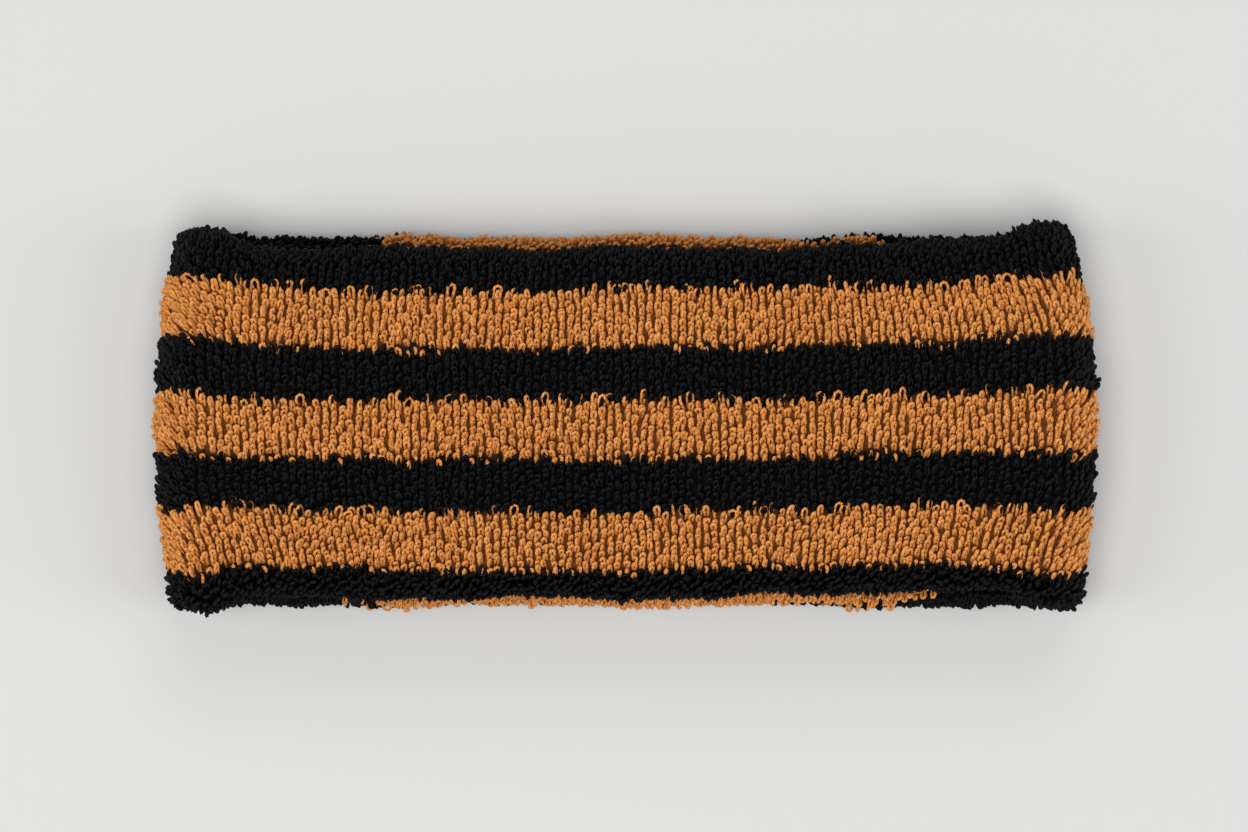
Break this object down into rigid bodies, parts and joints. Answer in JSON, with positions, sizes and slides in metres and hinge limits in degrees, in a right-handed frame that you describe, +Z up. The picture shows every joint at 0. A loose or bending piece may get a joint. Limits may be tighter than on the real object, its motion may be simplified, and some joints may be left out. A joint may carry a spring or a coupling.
{
  "type": "sweatband",
  "caption": "Wide striped terry sweatband, a double-ply loop-pile tube that lies flat, with its stripes running round it and an opening through it.",
  "frame": {"origin": "middle of the band's footprint on the surface that it lies on", "axes": "+X across the flat band along its stripes, +Y along the opening towards the upper rim, +Z up out of the flat band"},
  "size_m": [0.18, 0.0734, 0.0222],
  "materials": {
    "orange_pile": "matt cotton loop pile",
    "black_pile": "matt cotton loop pile",
    "ground_knit": "matt close knit",
    "elastic": "covered elastic thread",
    "sewing_thread": "twisted sewing thread"
  },
  "bodies": {
    "root": {"upper_rim_black_stripe": "black_pile", "outer_orange_stripe_1": "orange_pile", "outer_black_stripe_1": "black_pile", "outer_orange_stripe_2": "orange_pile", "outer_black_stripe_2": "black_pile", "outer_orange_stripe_3": "orange_pile", "lower_rim_black_stripe": "black_pile", "inner_orange_stripe_1": "orange_pile", "inner_black_stripe_1": "black_pile", "inner_orange_stripe_2": "orange_pile", "inner_orange_stripe_3": "orange_pile", "inner_black_stripe_2": "black_pile", "inner_orange_stripe_4": "orange_pile", "ground_knit": "ground_knit", "outer_elastic_threads": "elastic", "inner_elastic_threads": "elastic", "seam_stitches": "sewing_thread"}
  },
  "joints": []
}
